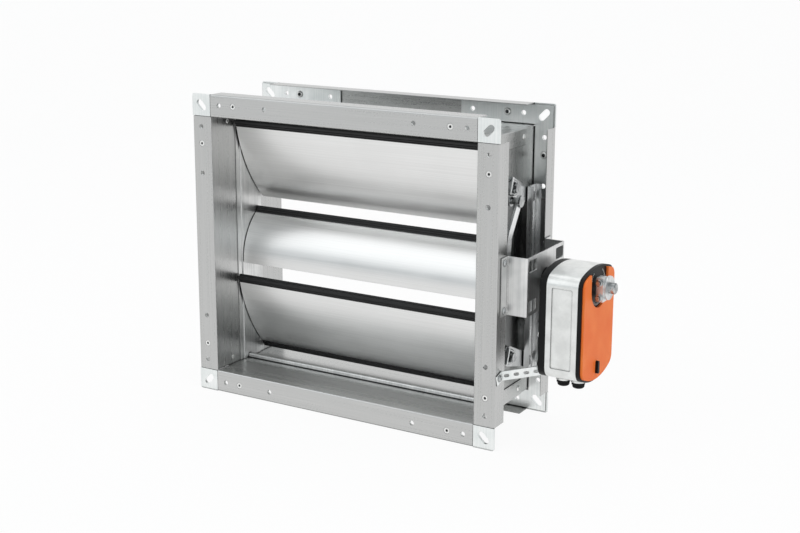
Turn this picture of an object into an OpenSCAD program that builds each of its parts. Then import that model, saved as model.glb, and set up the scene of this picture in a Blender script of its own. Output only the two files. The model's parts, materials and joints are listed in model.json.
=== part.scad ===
// Rectangular opposed-blade air damper with a rotary actuator on its right side.
// Frame: origin at the centre of the duct on the front flange face,
// X to the right along the blades, Y down the duct from front to back, Z up.

/* [Duct] */
// Clear width of the duct
duct_w = 400; // [300:5:600]
// Clear height of the duct
duct_h = 355; // [340:5:375]
// Length of the casing along the duct
case_d = 160; // [156:2:200]

/* [Casing sheet] */
// Thickness of the casing sheet
sheet_t = 1.2; // [0.8:0.1:1.5]
// Height of the flanges around the duct
flange_w = 30; // [30:1:40]
// Depth of the lip turned back along each flange edge
lip_d = 25; // [18:1:26]
// Inside bend radius of the folded sheet
bend_r = 1; // [0.5:0.1:1.5]
// Height of the top and bottom edges turned onto the side panels
turn_h = 20; // [14:1:24]
// Radius of the rivets in the turned edges
seam_rivet_r = 2; // [1.6:0.1:2.4]

/* [Corner plates] */
// Thickness of the corner plates
corner_t = 2.5; // [2:0.1:3]
// Length of a corner plate's horizontal leg from the outer corner
corner_leg_x = 135; // [128:1:145]
// Length of a corner plate's vertical leg from the outer corner
corner_leg_z = 124; // [118:1:135]
// Width of the joint between a corner plate's square and the flanges
corner_joint = 0.6; // [0.3:0.1:1]
// Width of the slotted hole in each corner
slot_w = 9; // [7:0.5:10]
// Overall length of the slotted hole in each corner
slot_l = 18; // [14:0.5:20]
// Distance of the flange holes from the flange's outer edge
hole_line = 14; // [13:0.5:16]
// Radius of the round flange holes
hole_r = 3.25; // [2.5:0.25:4]
// Distance of the first flange hole from the outer corner
hole_near = 44; // [42:1:48]
// Distance of the second hole from the outer corner on the top and bottom flanges
hole_far_x = 118; // [108:1:122]
// Distance of the second hole from the outer corner on the side flanges
hole_far_z = 107.5; // [98:0.5:112]
// Distance of the flange rivets from the outer corner
rivet_at = 67; // [60:1:80]
// Radius of a flange rivet's shank
rivet_r = 2.4; // [2:0.1:3]

/* [Blades] */
// Height of the outer blades' axles above and below the middle one
blade_pitch = 110; // [108:1:114]
// Largest thickness of a blade
blade_t = 21; // [20:0.5:24]
// Thickness of the blade skin
blade_wall = 1.5; // [1:0.1:2]
// Thickness of a blade at its seal
blade_edge_t = 6; // [5:0.5:7]
// Angle of the blades from closed, as they stand
rest_open = 27; // [10:1:60]
// Length of an edge seal beyond the metal
seal_out = 9.5; // [6:0.5:11]
// Thickness of an edge seal
seal_t = 8.5; // [7:0.5:10]
// Thickness of the side seal strips
side_seal_t = 2; // [1.5:0.1:2.5]
// Width of the side seal strips
side_seal_w = 56; // [40:1:70]
// Height of the stops above and below the outer blades
stop_h = 6; // [4:0.5:8]
// Width of the top face of a stop
stop_w = 6; // [5:0.5:8]

/* [Axles] */
// Radius of the outer blades' axles
axle_r = 6; // [5:0.5:7]
// Radius of the drive shaft through the middle blade
drive_r = 7; // [6:0.5:7.5]
// Wall of an axle bush
bush_wall = 3; // [2:0.25:4]
// Height of a bush's collar outside the side panel
collar_t = 2.5; // [2:0.1:3]

/* [Linkage] */
// Thickness of the cranks
crank_t = 3; // [2.5:0.1:3.5]
// Distance from an outer axle to its link bar pin
bar_pin_at = 56; // [52:0.5:57]
// Direction of the link bar pins from their axles, in degrees above the duct axis
bar_pin_dir = -20; // [-26:1:-14]
// Width of the link bar
bar_w = 26; // [24:0.5:28]
// Depth of the link bar's channel
bar_d = 9; // [7:0.5:9.5]
// Distance from the top axle to the cross link pin
link_pin_at = 16; // [15.5:0.25:17]
// Direction of the cross link pin from the top axle
link_pin_dir = -95; // [-98:1:-93]
// Distance from the drive shaft to its crank pin
drive_pin_at = 23.25; // [22.5:0.25:24]
// Direction of the crank pin from the drive shaft
drive_pin_dir = -88; // [-91:1:-85]
// Width of the cross link
link_w = 11; // [9:0.5:12]
// How far the cross link bows out in front of the drive shaft
link_bow = 34; // [32:1:38]

/* [Actuator bracket] */
// Thickness of the bracket
bracket_t = 1.5; // [1.2:0.1:2.5]
// Height of the bracket
bracket_h = 74; // [64:1:90]
// Width of the slots in the bracket's outer wall
bracket_slot_w = 22; // [14:1:26]
// Height of the slots in the bracket's outer wall
bracket_slot_h = 15; // [8:1:18]
// Distance that the bracket stands out from the flange lips
bracket_out = 28; // [24:1:32]

/* [Actuator] */
// Width of the actuator along the duct
act_w = 98; // [90:1:106]
// Height of the actuator above the drive shaft
act_up = 25; // [20:0.5:28]
// Depth of the actuator below the drive shaft
act_down = 120; // [114:1:128]
// Gap between the bracket and the actuator
act_gap = 14; // [10:0.5:20]
// Thickness of the actuator's base
base_t = 9; // [7:0.5:11]
// Thickness of the actuator's housing
body_t = 41; // [38:0.5:50]
// Thickness of the front plate below the cover
ring_t = 5; // [4:0.5:7]
// Thickness of the cover plate
cover_t = 3; // [2:0.25:4]
// Wall of the actuator's housing
body_wall = 3; // [2:0.25:5]
// Length of the drive shaft beyond the cover
stub_out = 21; // [18:0.5:26]
// Angle at which the perforated strap rises from the flange to the actuator
strap_lean = 14; // [0:1:18]
// Width of the perforated strap
strap_w = 13; // [11:0.5:15]
// Thickness of the perforated strap
strap_t = 1.2; // [1:0.1:1.5]

/* [Clearances] */
// Radial running clearance of a shaft in its bush or a pin in its link
run_fit = 0.05; // [0.02:0.01:0.1]
// Radial play of a pin that closes a loop of the parallel linkage
loop_play = 0.3; // [0.3:0.05:0.6]
// Radial play of the cross link's lower pin
cross_play = 2.1; // [2.1:0.1:2.6]
// Gap between a blade's end and the side seal
end_gap = 1; // [0.6:0.1:2]
// Gap between an outer blade's tip and the top or bottom panel
tip_gap = 1.5; // [1:0.1:3]
// Gap between the tips of two closed blades
meet_gap = 0.5; // [0.4:0.1:1.5]
// Gap between a moving piece and the next one beside it
side_gap = 0.8; // [0.6:0.1:1]
// Gap between a fixed piece and what it passes through
slip = 0.1; // [0.05:0.01:0.2]

/* [Hidden] */
$fn = 48;
FACES = ["front", "back"];
LEVELS = ["top", "middle", "bottom"];
SIDES = ["left", "right"];
CORNERS = [
    for (f = FACES, v = ["top", "bottom"], s = SIDES)
        [str(f, "_", v, "_", s, "_corner"), f, v, s]
];
BUSHES = [
    for (s = SIDES, v = LEVELS)
        [str(s, "_", v, "_bush"), s, v]
];

outer_w = duct_w + 2 * flange_w;
outer_h = duct_h + 2 * flange_w;
wall_x = duct_w / 2 + sheet_t;
lip_x = outer_w / 2;
axle_y = case_d / 2;

// Blades that just clear the casing and each other
outer_half = duct_h / 2 - blade_pitch - tip_gap;
middle_half = blade_pitch - outer_half - meet_gap;
blade_len = duct_w - 2 * (side_seal_t + end_gap);

// Planes of the linkage, counted outward from the right side panel
crank_x0 = wall_x + collar_t + 2.5;
crank_x1 = crank_x0 + crank_t;
bar_x0 = crank_x1 + side_gap;
bar_t = 1.5;
axle_end = crank_x1 + bar_t + 6.5;
link_x0 = axle_end + side_gap;
link_x1 = link_x0 + crank_t;
bar_pin_r = 4;
bar_pin = bar_pin_at * [cos(bar_pin_dir), sin(bar_pin_dir)];
link_pin_r = 3;
link_pin = link_pin_at * [cos(link_pin_dir), sin(link_pin_dir)];
drive_pin = drive_pin_at * [cos(drive_pin_dir), sin(drive_pin_dir)];

// Planes of the actuator
bracket_x = lip_x + bracket_out;
base_x = bracket_x + act_gap;
body_x = base_x + base_t;
ring_x = body_x + body_t;
cover_x = ring_x + ring_t;
front_x = cover_x + cover_t;
stub_x = front_x + stub_out;
hub_r = drive_r + 5;

zinc = [0.74, 0.75, 0.76];
bright_zinc = [0.86, 0.87, 0.88];
alloy = [0.8, 0.8, 0.81];
steel = [0.62, 0.63, 0.64];
rubber = [0.08, 0.08, 0.08];
plastic = [0.12, 0.12, 0.13];
casting = [0.82, 0.83, 0.83];
orange = [0.95, 0.48, 0.25];

// Directions of the corners, faces and levels
function side_sign(s) = s == "left" ? -1 : 1;
function level_z(v) = v == "top" ? blade_pitch : v == "bottom" ? -blade_pitch : 0;
function unit(v) = v / norm(v);
function normal(v) = [-v[1], v[0]];

// Points of an arc that rounds the corner b between a and c
function corner_arc(a, b, c, r) =
    let (
        u = unit(a - b),
        v = unit(c - b),
        half = acos(u * v) / 2,
        centre = b + unit(u + v) * r / sin(half),
        from = b + u * r / tan(half) - centre,
        to = b + v * r / tan(half) - centre,
        start = atan2(from[1], from[0]),
        turn = (atan2(to[1], to[0]) - start + 540) % 360 - 180,
        steps = 5
    )
    [for (i = [0:steps]) centre + r * [cos(start + turn * i / steps), sin(start + turn * i / steps)]];

// A path with each of its corners rounded to radius r
function bent(path, r) = [
    path[0],
    for (i = [1:len(path) - 2]) each corner_arc(path[i - 1], path[i], path[i + 1], r),
    path[len(path) - 1]
];

// The same path moved sideways by w
function beside(path, w) = [
    for (i = [0:len(path) - 1])
        let (
            before = normal(unit(path[max(i, 1)] - path[max(i, 1) - 1])),
            after = normal(unit(path[min(i + 1, len(path) - 1)] - path[min(i, len(path) - 2)]))
        )
        path[i] + w * (before + after) / (1 + before * after)
];

// Edge view of a folded sheet of thickness t whose middle follows a path
module folded(path, t, r = bend_r) {
    line = bent(path, r + t / 2);
    left = beside(line, t / 2);
    right = beside(line, -t / 2);
    polygon(concat(left, [for (i = [len(right) - 1:-1:0]) right[i]]));
}

// Outline of a bar that tapers from a round end at p to a round end at q
module arm(p, rp, q, rq) {
    reach = q - p;
    dir = atan2(reach[1], reach[0]);
    lean = acos((rp - rq) / norm(reach));
    up = [cos(dir + lean), sin(dir + lean)];
    down = [cos(dir - lean), sin(dir - lean)];
    translate(p) circle(rp);
    translate(q) circle(rq);
    polygon([p + rp * up, p + rp * down, q + rq * down, q + rq * up]);
}

// Rectangle with round corners, centred
module rounded(w, h, r) {
    square([w - 2 * r, h], center = true);
    square([w, h - 2 * r], center = true);
    for (x = [-1, 1], y = [-1, 1]) translate([x * (w / 2 - r), y * (h / 2 - r)]) circle(r);
}

// Extrusions of a (Y, Z), an (X, Z) and an (X, Y) outline
module along_x(x0, x1) {
    translate([x0, 0, 0]) rotate([90, 0, 90]) linear_extrude(x1 - x0) children();
}
module along_y(y0, y1) {
    translate([0, y1, 0]) rotate([90, 0, 0]) linear_extrude(y1 - y0) children();
}
module along_z(z0, z1) {
    translate([0, 0, z0]) linear_extrude(z1 - z0) children();
}

// Cylinder about an axis along X or Y
module rod_x(x0, x1, r) {
    translate([x0, 0, 0]) rotate([0, 90, 0]) cylinder(h = x1 - x0, r = r);
}
module rod_y(y0, y1, r) {
    translate([0, y0, 0]) rotate([-90, 0, 0]) cylinder(h = y1 - y0, r = r);
}

// Places its children at the axle of a blade level
module at_axle(v) {
    translate([0, axle_y, level_z(v)]) children();
}
// Places its children in the frame of a blade, turned to where it stands
module on_blade(v) {
    at_axle(v) rotate([v == "middle" ? -rest_open : rest_open, 0, 0]) children();
}

// Edge view of a side of the casing: web, two flanges and their lips
module panel_profile() {
    low = sheet_t / 2;
    high = flange_w - sheet_t / 2;
    folded([
        [lip_d, high],
        [low, high],
        [low, low],
        [case_d - low, low],
        [case_d - low, high],
        [case_d - lip_d, high]
    ], sheet_t);
}

// Places of the round holes and of the rivets in both flanges, in X and Z
function flange_places(near, far_x, far_z) = [
    for (x = [-1, 1], z = [-1, 1]) each [
        [x * (outer_w / 2 - near), z * (outer_h / 2 - hole_line)],
        [x * (outer_w / 2 - far_x), z * (outer_h / 2 - hole_line)],
        [x * (outer_w / 2 - hole_line), z * (outer_h / 2 - near)],
        [x * (outer_w / 2 - hole_line), z * (outer_h / 2 - far_z)]
    ]
];
hole_places = flange_places(hole_near, hole_far_x, hole_far_z);
rivet_places = [
    for (x = [-1, 1], z = [-1, 1]) each [
        [x * (outer_w / 2 - rivet_at), z * (outer_h / 2 - hole_line)],
        [x * (outer_w / 2 - hole_line), z * (outer_h / 2 - rivet_at)]
    ]
];
rivet_head_r = rivet_r + 1.2;
rivet_head_t = 0.6;
rivet_seat_gap = 0.5;
module through_case(places, r) {
    for (p = places) translate([p[0], 0, p[1]]) rod_y(-1, case_d + 1, r);
}
// Round holes, rivet holes and the sunk seats of the rivet heads in the flanges
module flange_cuts() {
    seat = rivet_head_t;
    through_case(hole_places, hole_r);
    through_case(rivet_places, rivet_r + slip / 2);
    for (p = rivet_places, y = [0, case_d]) {
        translate([p[0], 0, p[1]]) rod_y(y - seat, y + seat, rivet_head_r + rivet_seat_gap);
    }
}

// Places of the rivets in the turned edges, in Y and Z
seam_y = [lip_d + 11, case_d - lip_d - 11];
seam_z = duct_h / 2 - turn_h / 2;
module seam_holes() {
    for (x = [-1, 1], y = seam_y, z = [-1, 1]) {
        translate([0, y, z * seam_z]) {
            rod_x(min(x, 0) * lip_x, max(x, 0) * lip_x, seam_rivet_r + slip / 2);
        }
    }
}

// Top or bottom panel, with side edges turned onto the side panels
fold_gap = 0.2;
module level_panel(z) {
    color(zinc) difference() {
        mirror([0, 0, z < 0 ? 1 : 0]) {
            along_x(-duct_w / 2, duct_w / 2) translate([0, duct_h / 2]) panel_profile();
            for (x = [0, 1]) mirror([x, 0, 0]) along_y(lip_d + 2, case_d - lip_d - 2) folded([
                [duct_w / 2 - 2 * turn_h, duct_h / 2 + sheet_t / 2],
                [wall_x + sheet_t / 2, duct_h / 2 + sheet_t / 2],
                [wall_x + sheet_t / 2, duct_h / 2 - turn_h]
            ], sheet_t, fold_gap);
        }
        flange_cuts();
        seam_holes();
    }
}

// Left or right panel, bored for the axle bushes
bush_r = axle_r + run_fit + bush_wall;
drive_bush_r = drive_r + run_fit + bush_wall;
function bush_outer(v) = v == "middle" ? drive_bush_r : bush_r;
module side_panel(x) {
    color(zinc) difference() {
        mirror([x < 0 ? 1 : 0, 0, 0]) along_z(fold_gap - duct_h / 2, duct_h / 2 - fold_gap) {
            translate([duct_w / 2, 0]) mirror([1, -1]) panel_profile();
        }
        flange_cuts();
        seam_holes();
        for (v = LEVELS) at_axle(v) rod_x(-lip_x, lip_x, bush_outer(v) + slip);
        if (x > 0) lip_screw_holes();
    }
}

// Corner plate: a square pressed forward between the flanges, and two legs behind them
leg_in = sheet_t + bend_r + fold_gap;
corner_round = 3;
module corner_square() {
    difference() {
        translate([duct_w / 2, duct_h / 2] + corner_joint * [1, 1]) square(flange_w - corner_joint);
        translate([outer_w / 2 - corner_round, outer_h / 2 - corner_round]) difference() {
            square(corner_round + 1);
            circle(corner_round);
        }
    }
}
module corner_legs() {
    leg = flange_w - 2 * leg_in;
    translate([outer_w / 2 - corner_leg_x, duct_h / 2 + leg_in]) square([corner_leg_x - leg_in, leg]);
    translate([duct_w / 2 + leg_in, outer_h / 2 - corner_leg_z]) square([leg, corner_leg_z - leg_in]);
}
module corner_slot() {
    lean = (slot_l - slot_w) / 2 * [cos(45), sin(45)];
    middle = [duct_w / 2, duct_h / 2] + flange_w / 2 * [1, 1];
    arm(middle - lean, slot_w / 2, middle + lean, slot_w / 2 - 0.001);
}
module corner_plate(face, v, s) {
    behind = face == "front" ? sheet_t : case_d - sheet_t - corner_t;
    level = face == "front" ? 0 : case_d - corner_t;
    color(bright_zinc) difference() {
        mirror([s == "left" ? 1 : 0, 0, 0]) mirror([0, 0, v == "bottom" ? 1 : 0]) difference() {
            union() {
                along_y(behind, behind + corner_t) corner_legs();
                along_y(level, level + corner_t) corner_square();
            }
            along_y(-1, case_d + 1) corner_slot();
        }
        through_case(hole_places, hole_r);
        through_case(rivet_places, rivet_r + slip / 2);
    }
}

// Rivets that join the corner plates to a flange, heads flush with its face
bulb_r = rivet_r + 1;
module flange_rivets(face) {
    depth = sheet_t + corner_t;
    color(steel) translate([0, face == "front" ? 0 : case_d, 0]) mirror([0, face == "front" ? 0 : 1, 0]) {
        for (p = rivet_places) translate([p[0], 0, p[1]]) difference() {
            union() {
                rod_y(0, rivet_head_t, rivet_head_r);
                rod_y(0, depth + 2.5, rivet_r);
                rod_y(depth, depth + 2, bulb_r);
            }
            rod_y(-1, depth / 2, 0.7 * rivet_r);
        }
    }
}

// Dome-headed rivets through the turned edges and the side panels
module seam_rivets() {
    head = 0.7;
    dome = 1.2;
    inner = duct_w / 2;
    outer = wall_x + sheet_t;
    color(steel) for (x = [0, 1], y = seam_y, z = [-1, 1]) mirror([x, 0, 0]) {
        translate([0, y, z * seam_z]) {
            rod_x(inner - head, inner, seam_rivet_r + 1.2);
            rod_x(inner - head, outer + dome, seam_rivet_r);
            rod_x(outer, outer + dome, seam_rivet_r + 1.6);
        }
    }
}

// Folded stop that the bottom blade's lower seal closes against
stop_gap = 0.4;
stop_bend = 0.4;
module bottom_stop() {
    rear = axle_y - seal_t / 2 - stop_gap - sheet_t / 2;
    front = rear - stop_w + sheet_t;
    floor = -duct_h / 2;
    color(bright_zinc) along_x(side_seal_t - duct_w / 2, duct_w / 2 - side_seal_t) folded([
        [rear - sheet_t, floor + sheet_t / 2],
        [front, floor + sheet_t / 2],
        [front, floor + stop_h - sheet_t / 2],
        [rear, floor + stop_h - sheet_t / 2],
        [rear, floor + sheet_t / 2]
    ], sheet_t, stop_bend);
}
module top_stop() {
    translate([0, case_d, 0]) rotate([180, 0, 0]) bottom_stop();
}

// Hat-shaped strip on each side wall, which the blades' ends run along
module side_seal(x) {
    strip_t = 0.8;
    low = strip_t / 2;
    high = side_seal_t - strip_t / 2;
    edge = side_seal_w / 2;
    color(bright_zinc) difference() {
        mirror([x < 0 ? 1 : 0, 0, 0]) along_z(fold_gap - duct_h / 2, duct_h / 2 - fold_gap) {
            translate([duct_w / 2, axle_y]) mirror([1, 0]) folded([
                [low, -edge],
                [low, 8 - edge],
                [high, 10 - edge],
                [high, edge - 10],
                [low, edge - 8],
                [low, edge]
            ], strip_t, 0.4);
        }
        for (v = LEVELS) at_axle(v) rod_x(-lip_x, lip_x, bush_outer(v) + slip);
    }
}

// Flanged bush of an axle in a side panel
module bush(s, v) {
    bore = (v == "middle" ? drive_r : axle_r) + run_fit;
    color(plastic) at_axle(v) mirror([s == "left" ? 1 : 0, 0, 0]) difference() {
        union() {
            rod_x(duct_w / 2 - side_seal_t, wall_x + collar_t, bush_outer(v));
            rod_x(wall_x, wall_x + collar_t, bush_outer(v) + 4);
        }
        rod_x(0, lip_x, bore);
    }
}

// Lens-shaped section, thickness along the first axis and chord along the second
module lens(seat, inset, up, down) {
    drop = (blade_t - blade_edge_t) / 2;
    bow = (seat * seat + drop * drop) / (2 * drop);
    intersection() {
        translate([blade_t / 2 - bow, 0]) circle(bow - inset, $fn = 180);
        translate([bow - blade_t / 2, 0]) circle(bow - inset, $fn = 180);
        translate([-blade_t, inset - down]) square([2 * blade_t, up + down - 2 * inset]);
    }
}
// Hollow blade with a tube for its axle and a web across the tube
module blade_skin(half, up, down, bore) {
    seat = half - seal_out;
    color(alloy) along_x(-blade_len / 2, blade_len / 2) difference() {
        lens(seat, 0, up, down);
        difference() {
            lens(seat, blade_wall, up, down);
            circle(bore + 2);
            square([blade_t, blade_wall], center = true);
        }
        circle(bore);
    }
}
module top_blade() {
    on_blade("top") blade_skin(outer_half, outer_half - seal_out, outer_half, axle_r + slip / 2);
}
module middle_blade() {
    on_blade("middle") blade_skin(middle_half, middle_half - seal_out, middle_half, drive_r + slip / 2);
}
module bottom_blade() {
    metal = outer_half - seal_out;
    on_blade("bottom") blade_skin(outer_half, metal, metal, axle_r + slip / 2);
}

// Rubber seal with two lips along a blade's edge
module edge_seal(half) {
    lip = seal_t / 4;
    color(rubber) along_x(-blade_len / 2, blade_len / 2) {
        translate([-2 * lip, half - seal_out]) square([4 * lip, seal_out - lip]);
        for (side = [-1, 1]) translate([side * lip, half - lip]) circle(lip);
    }
}
module top_blade_seal() {
    on_blade("top") edge_seal(outer_half);
}
module middle_blade_seal() {
    on_blade("middle") edge_seal(middle_half);
}
module bottom_blade_seals() {
    on_blade("bottom") for (turn = [0, 180]) rotate([turn, 0, 0]) edge_seal(outer_half);
}

// Axles through the blades and both side panels
left_end = -(wall_x + collar_t + 4);
module axle(v) {
    color(steel) at_axle(v) rod_x(left_end, axle_end, axle_r);
}
module drive_shaft() {
    bevel = 1;
    color(steel) at_axle("middle") {
        rod_x(left_end, stub_x - bevel, drive_r);
        translate([stub_x - bevel, 0, 0]) rotate([0, 90, 0]) {
            cylinder(h = bevel, r1 = drive_r, r2 = drive_r - bevel);
        }
    }
}

// Crank of an outer blade: a plate whose tail ends in a turned lip for its clamp
clamp_rod = 2;
clamp_x = crank_x1 + 0.3 + clamp_rod;
crank_lip = 20;
crank_half = 11;
module crank_tail(w) {
    translate([-crank_lip, -crank_half]) square([w, 2 * crank_half]);
}
module outer_crank(v) {
    color(bright_zinc) at_axle(v) difference() {
        union() {
            along_x(crank_x0, crank_x1) {
                arm([0, 0], crank_half + 2, bar_pin, bar_pin_r + 4.8);
            }
            if (v == "top") along_x(crank_x0, crank_x1) {
                arm([0, 0], crank_half + 2, link_pin, link_pin_r + 4.5);
            }
            rotate([bar_pin_dir, 0, 0]) {
                along_x(crank_x0, crank_x1) crank_tail(crank_lip);
                along_x(crank_x0, axle_end) crank_tail(crank_t);
            }
        }
        rod_x(0, lip_x, axle_r + slip);
        translate([0, bar_pin[0], bar_pin[1]]) rod_x(0, lip_x, bar_pin_r + slip / 2);
        if (v == "top") translate([0, link_pin[0], link_pin[1]]) rod_x(0, lip_x, link_pin_r + slip / 2);
        rotate([bar_pin_dir, 0, 0]) for (z = [-1, 1]) translate([clamp_x, 0, z * (axle_r + clamp_rod)]) {
            rod_y(-2 * crank_lip, -crank_half, clamp_rod + slip);
        }
    }
}
// Bent rod round an axle, with two nuts that draw it against the crank's lip
module crank_clamp(v) {
    nut_t = 3.2;
    color(steel) at_axle(v) rotate([bar_pin_dir, 0, 0]) {
        translate([clamp_x, 0, 0]) rotate([90, 0, 90]) rotate([0, 0, -90]) {
            rotate_extrude(angle = 180) translate([axle_r + clamp_rod, 0]) circle(clamp_rod, $fn = 24);
        }
        for (z = [-1, 1]) translate([clamp_x, 0, z * (axle_r + clamp_rod)]) {
            rod_y(-crank_lip - 7, 0, clamp_rod);
            translate([0, -crank_lip - nut_t, 0]) rotate([-90, 0, 0]) cylinder(h = nut_t, r = 3.8, $fn = 6);
        }
    }
}
// Crank of the drive shaft, with its hub
module drive_crank() {
    color(bright_zinc) at_axle("middle") difference() {
        union() {
            along_x(crank_x0, crank_x1) arm([0, 0], crank_half + 2, drive_pin, link_pin_r + 4.5);
            rod_x(crank_x1, crank_x1 + 5, drive_r + 4);
        }
        rod_x(0, lip_x, drive_r + slip / 2);
        translate([0, drive_pin[0], drive_pin[1]]) rod_x(0, lip_x, link_pin_r + slip / 2);
    }
}

// Pin riveted to an outer crank, which carries the link bar
module bar_pin_at_crank(v) {
    neck = bar_x0 + bar_t + 0.3;
    color(steel) at_axle(v) translate([0, bar_pin[0], bar_pin[1]]) {
        rod_x(crank_x0 - 1, crank_x0, bar_pin_r + 2);
        rod_x(crank_x0, neck, bar_pin_r);
        rod_x(neck, neck + 2.4, bar_pin_r + 2.5);
    }
}
// Shouldered pin of the cross link, on the top crank or on the drive crank
module cross_pin(v, place) {
    shoulder = link_x0 - 0.3;
    neck = link_x1 + 0.3;
    color(steel) at_axle(v) translate([0, place[0], place[1]]) {
        rod_x(crank_x0 - 1, crank_x0, link_pin_r + 1.5);
        rod_x(crank_x0, crank_x1, link_pin_r);
        rod_x(crank_x1, shoulder, link_pin_r + 1.5);
        rod_x(shoulder, neck, link_pin_r);
        rod_x(neck, neck + 2, link_pin_r + 4.2);
    }
}

// Upright channel that joins the two outer cranks
module link_bar() {
    y = axle_y + bar_pin[0];
    edge = (bar_w - bar_t) / 2;
    over = bar_w / 2 + 1;
    color(bright_zinc) difference() {
        along_z(level_z("bottom") + bar_pin[1] - over, level_z("top") + bar_pin[1] + over) folded([
            [bar_x0 + bar_d, y - edge],
            [bar_x0 + bar_t / 2, y - edge],
            [bar_x0 + bar_t / 2, y + edge],
            [bar_x0 + bar_d, y + edge]
        ], bar_t);
        translate([0, y, level_z("top") + bar_pin[1]]) rod_x(0, lip_x, bar_pin_r + run_fit);
        translate([0, y, level_z("bottom") + bar_pin[1]]) rod_x(0, lip_x, bar_pin_r + loop_play);
    }
}

// Curved link from the top crank round the front of the drive shaft to its crank
link_top = [link_pin[0], blade_pitch + link_pin[1]];
link_upper = [6 - link_bow, blade_pitch / 2];
link_middle = [-link_bow, 1.25 * link_w];
link_lower = [-0.65 * link_bow, drive_pin[1] + 6];
eye_wall = 3.4;
module cross_link() {
    top_eye = link_pin_r + 4.5;
    low_eye = link_pin_r + cross_play + eye_wall;
    color(bright_zinc) translate([0, axle_y, 0]) difference() {
        union() {
            along_x(link_x0, link_x1) folded([
                link_top + (top_eye - eye_wall) * unit(link_upper - link_top),
                link_upper,
                link_middle,
                link_lower,
                drive_pin + (low_eye - eye_wall + 0.9) * unit(link_lower - drive_pin)
            ], link_w, 14);
            translate([0, link_top[0], link_top[1]]) rod_x(link_x0, link_x1, top_eye);
            translate([0, drive_pin[0], drive_pin[1]]) rod_x(link_x0, link_x1, low_eye);
        }
        translate([0, link_top[0], link_top[1]]) rod_x(0, lip_x, link_pin_r + run_fit);
        translate([0, drive_pin[0], drive_pin[1]]) rod_x(0, lip_x, link_pin_r + cross_play);
    }
}

// Places of the screws in the lips of the right panel
screw_r = 2;
screw_y = [17, case_d - 17];
screw_z = bracket_h / 2 - 7;
strap_y = 10;
strap_z = 5 - act_down;
strap_reach = 48;
strap_hold = [strap_y, strap_z] + strap_reach * [cos(strap_lean), sin(strap_lean)];
module lip_screw_holes() {
    bore = screw_r + slip / 2;
    for (y = screw_y, z = [-1, 1]) translate([0, y, z * screw_z]) rod_x(wall_x + 9, bracket_x, bore);
    translate([0, strap_y, strap_z]) rod_x(wall_x + 9, bracket_x, bore);
}
module pan_screw(x, length) {
    rod_x(x, x + 2.4, 2 * screw_r);
    rod_x(x - length, x, screw_r);
}

// Bracket folded over the linkage, bored for the drive shaft, with a slot near each corner
foot_end = 8;
slot_in = 4;
slot_round = 2;
module actuator_bracket() {
    foot = lip_x + bracket_t / 2;
    wall = lip_d + slip + bracket_t / 2;
    roof = bracket_x - bracket_t / 2;
    slot_y = case_d / 2 - wall - slot_in - bracket_slot_w / 2;
    slot_z = (bracket_h - bracket_slot_h) / 2 - slot_in;
    color(bright_zinc) difference() {
        along_z(-bracket_h / 2, bracket_h / 2) folded([
            [foot, screw_y[0] - foot_end],
            [foot, wall],
            [roof, wall],
            [roof, case_d - wall],
            [foot, case_d - wall],
            [foot, screw_y[1] + foot_end]
        ], bracket_t);
        lip_screw_holes();
        at_axle("middle") {
            rod_x(lip_x, 2 * lip_x, drive_bush_r + slip);
            for (y = [-1, 1], z = [-1, 1]) translate([0, y * slot_y, z * slot_z]) {
                along_x(roof - bracket_t, 2 * lip_x) rounded(bracket_slot_w, bracket_slot_h, slot_round);
            }
        }
    }
}
module bracket_screws() {
    color(steel) for (y = screw_y, z = [-1, 1]) translate([0, y, z * screw_z]) {
        pan_screw(lip_x + bracket_t, 7);
    }
}
// Flanged bush of the drive shaft in the bracket
module shaft_bush() {
    color(plastic) at_axle("middle") difference() {
        union() {
            rod_x(bracket_x - bracket_t - 1, bracket_x + 2.5, drive_bush_r);
            rod_x(bracket_x, bracket_x + 2.5, drive_bush_r + 4);
        }
        rod_x(lip_x, 2 * lip_x, drive_r + run_fit);
    }
}

// Outline of the actuator about the drive shaft, moved inward: two bowed ends
// whose corners run smoothly into the sides and the bow
top_bow = 125;
end_bow = 95;
end_round = 15;
function bowed_end(half, reach, bow, r) =
    let (
        side = half - r,
        hub = reach - bow,
        lean = acos(side / (bow - r)),
        shoulder = hub + (bow - r) * sin(lean),
        steps = 8
    )
    concat(
        [for (i = [0:steps]) [side, shoulder] + r * [cos(lean * i / steps), sin(lean * i / steps)]],
        [
            for (i = [1:2 * steps - 1])
                let (a = lean + (90 - lean) * i / steps)
                [0, hub] + bow * [cos(a), sin(a)]
        ],
        [for (i = [steps:-1:0]) [-side, shoulder] + r * [-cos(lean * i / steps), sin(lean * i / steps)]]
    );
module actuator_outline(inset = 0) {
    half = act_w / 2 - inset;
    polygon(concat(
        bowed_end(half, act_up - inset, top_bow - inset, end_round - inset),
        -bowed_end(half, act_down - inset, end_bow - inset, end_round - inset)
    ));
}

// Tray-shaped base plate with a bearing boss for the hub
module actuator_base() {
    floor_t = 3;
    color(plastic) at_axle("middle") difference() {
        along_x(base_x, body_x) actuator_outline();
        along_x(base_x + floor_t, body_x + 1) difference() {
            actuator_outline(body_wall);
            circle(hub_r + 3);
            translate(strap_hold - [axle_y, 0]) circle(screw_r + 3);
        }
        rod_x(base_x - 1, body_x + 1, hub_r + run_fit);
        translate([0, strap_hold[0] - axle_y, strap_hold[1]]) {
            rod_x(base_x - 1, base_x + 6.5, screw_r + slip / 2);
        }
    }
}

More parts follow.
